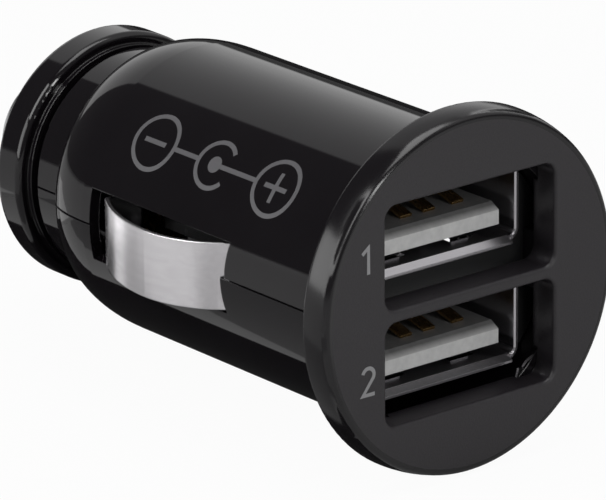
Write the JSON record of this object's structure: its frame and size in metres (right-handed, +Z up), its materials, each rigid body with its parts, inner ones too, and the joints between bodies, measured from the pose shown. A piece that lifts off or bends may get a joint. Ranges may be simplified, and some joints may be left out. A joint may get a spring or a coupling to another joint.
{
  "type": "car usb charger plug",
  "caption": "Compact plug for a car power socket, with stacked USB-A ports in its round face, bowed side contacts and a sprung centre pin.",
  "frame": {"origin": "where the barrel's axis crosses the back of the front flange", "axes": "+X out of the socket face along the barrel's axis, +Z up with the ports one above the other"},
  "size_m": [0.0464, 0.0252, 0.0252],
  "materials": {
    "shell_plastic": "gloss black moulding",
    "bezel_plastic": "fine-textured black moulding",
    "frame_plastic": "plain black moulding",
    "tongue_plastic": "pale moulded insulator",
    "socket_steel": "plated folded sheet",
    "leaf_steel": "bright nickel plate",
    "tip_metal": "bright nickel plate",
    "contact_brass": "plated spring brass",
    "spring_steel": "drawn wire",
    "board_laminate": "green solder mask",
    "solder": "dull solder",
    "capacitor_can": "drawn can",
    "ferrite": "dark ferrite",
    "copper_wire": "enamelled copper",
    "component_black": "moulded epoxy",
    "ceramic": "ceramic body"
  },
  "bodies": {
    "charger_body": {"front_bezel": "bezel_plastic", "upper_shell": "shell_plastic", "lower_shell": "shell_plastic", "nose_ring": "shell_plastic", "socket_frame": "frame_plastic", "pin_spring": "spring_steel", "spring_terminal": "contact_brass", "left_contact_tab": "contact_brass", "right_contact_tab": "contact_brass", "upper_usb_shell": "socket_steel", "lower_usb_shell": "socket_steel", "upper_usb_tongue": "tongue_plastic", "lower_usb_tongue": "tongue_plastic", "upper_usb_contacts": "contact_brass", "lower_usb_contacts": "contact_brass", "socket_board": "board_laminate", "main_board": "board_laminate", "board_solder": "solder", "output_capacitor": "capacitor_can", "input_capacitor": "capacitor_can", "inductor_core": "ferrite", "inductor_winding": "copper_wire", "converter_chip": "component_black", "converter_leads": "solder", "rectifier_diode": "component_black", "chip_resistors": "component_black", "ceramic_capacitors": "ceramic", "board_fuse": "ceramic"},
    "left_side_contact": {"left_contact": "leaf_steel"},
    "right_side_contact": {"right_contact": "leaf_steel"},
    "sprung_pin": {"centre_pin": "tip_metal"}
  },
  "joints": [
    {"name": "left_contact_press", "type": "slide", "parent": "charger_body", "child": "left_side_contact", "axis": [0, 1, 0], "range_m": [0, 0.0022], "stiffness_N_per_m": 900, "springref_m": -0.001},
    {"name": "right_contact_press", "type": "slide", "parent": "charger_body", "child": "right_side_contact", "axis": [0, -1, 0], "range_m": [0, 0.0022], "stiffness_N_per_m": 900, "springref_m": -0.001},
    {"name": "centre_pin_press", "type": "slide", "parent": "charger_body", "child": "sprung_pin", "axis": [1, 0, 0], "range_m": [0, 0.0022], "stiffness_N_per_m": 1500, "springref_m": -0.002, "deforming": ["pin_spring"]}
  ]
}
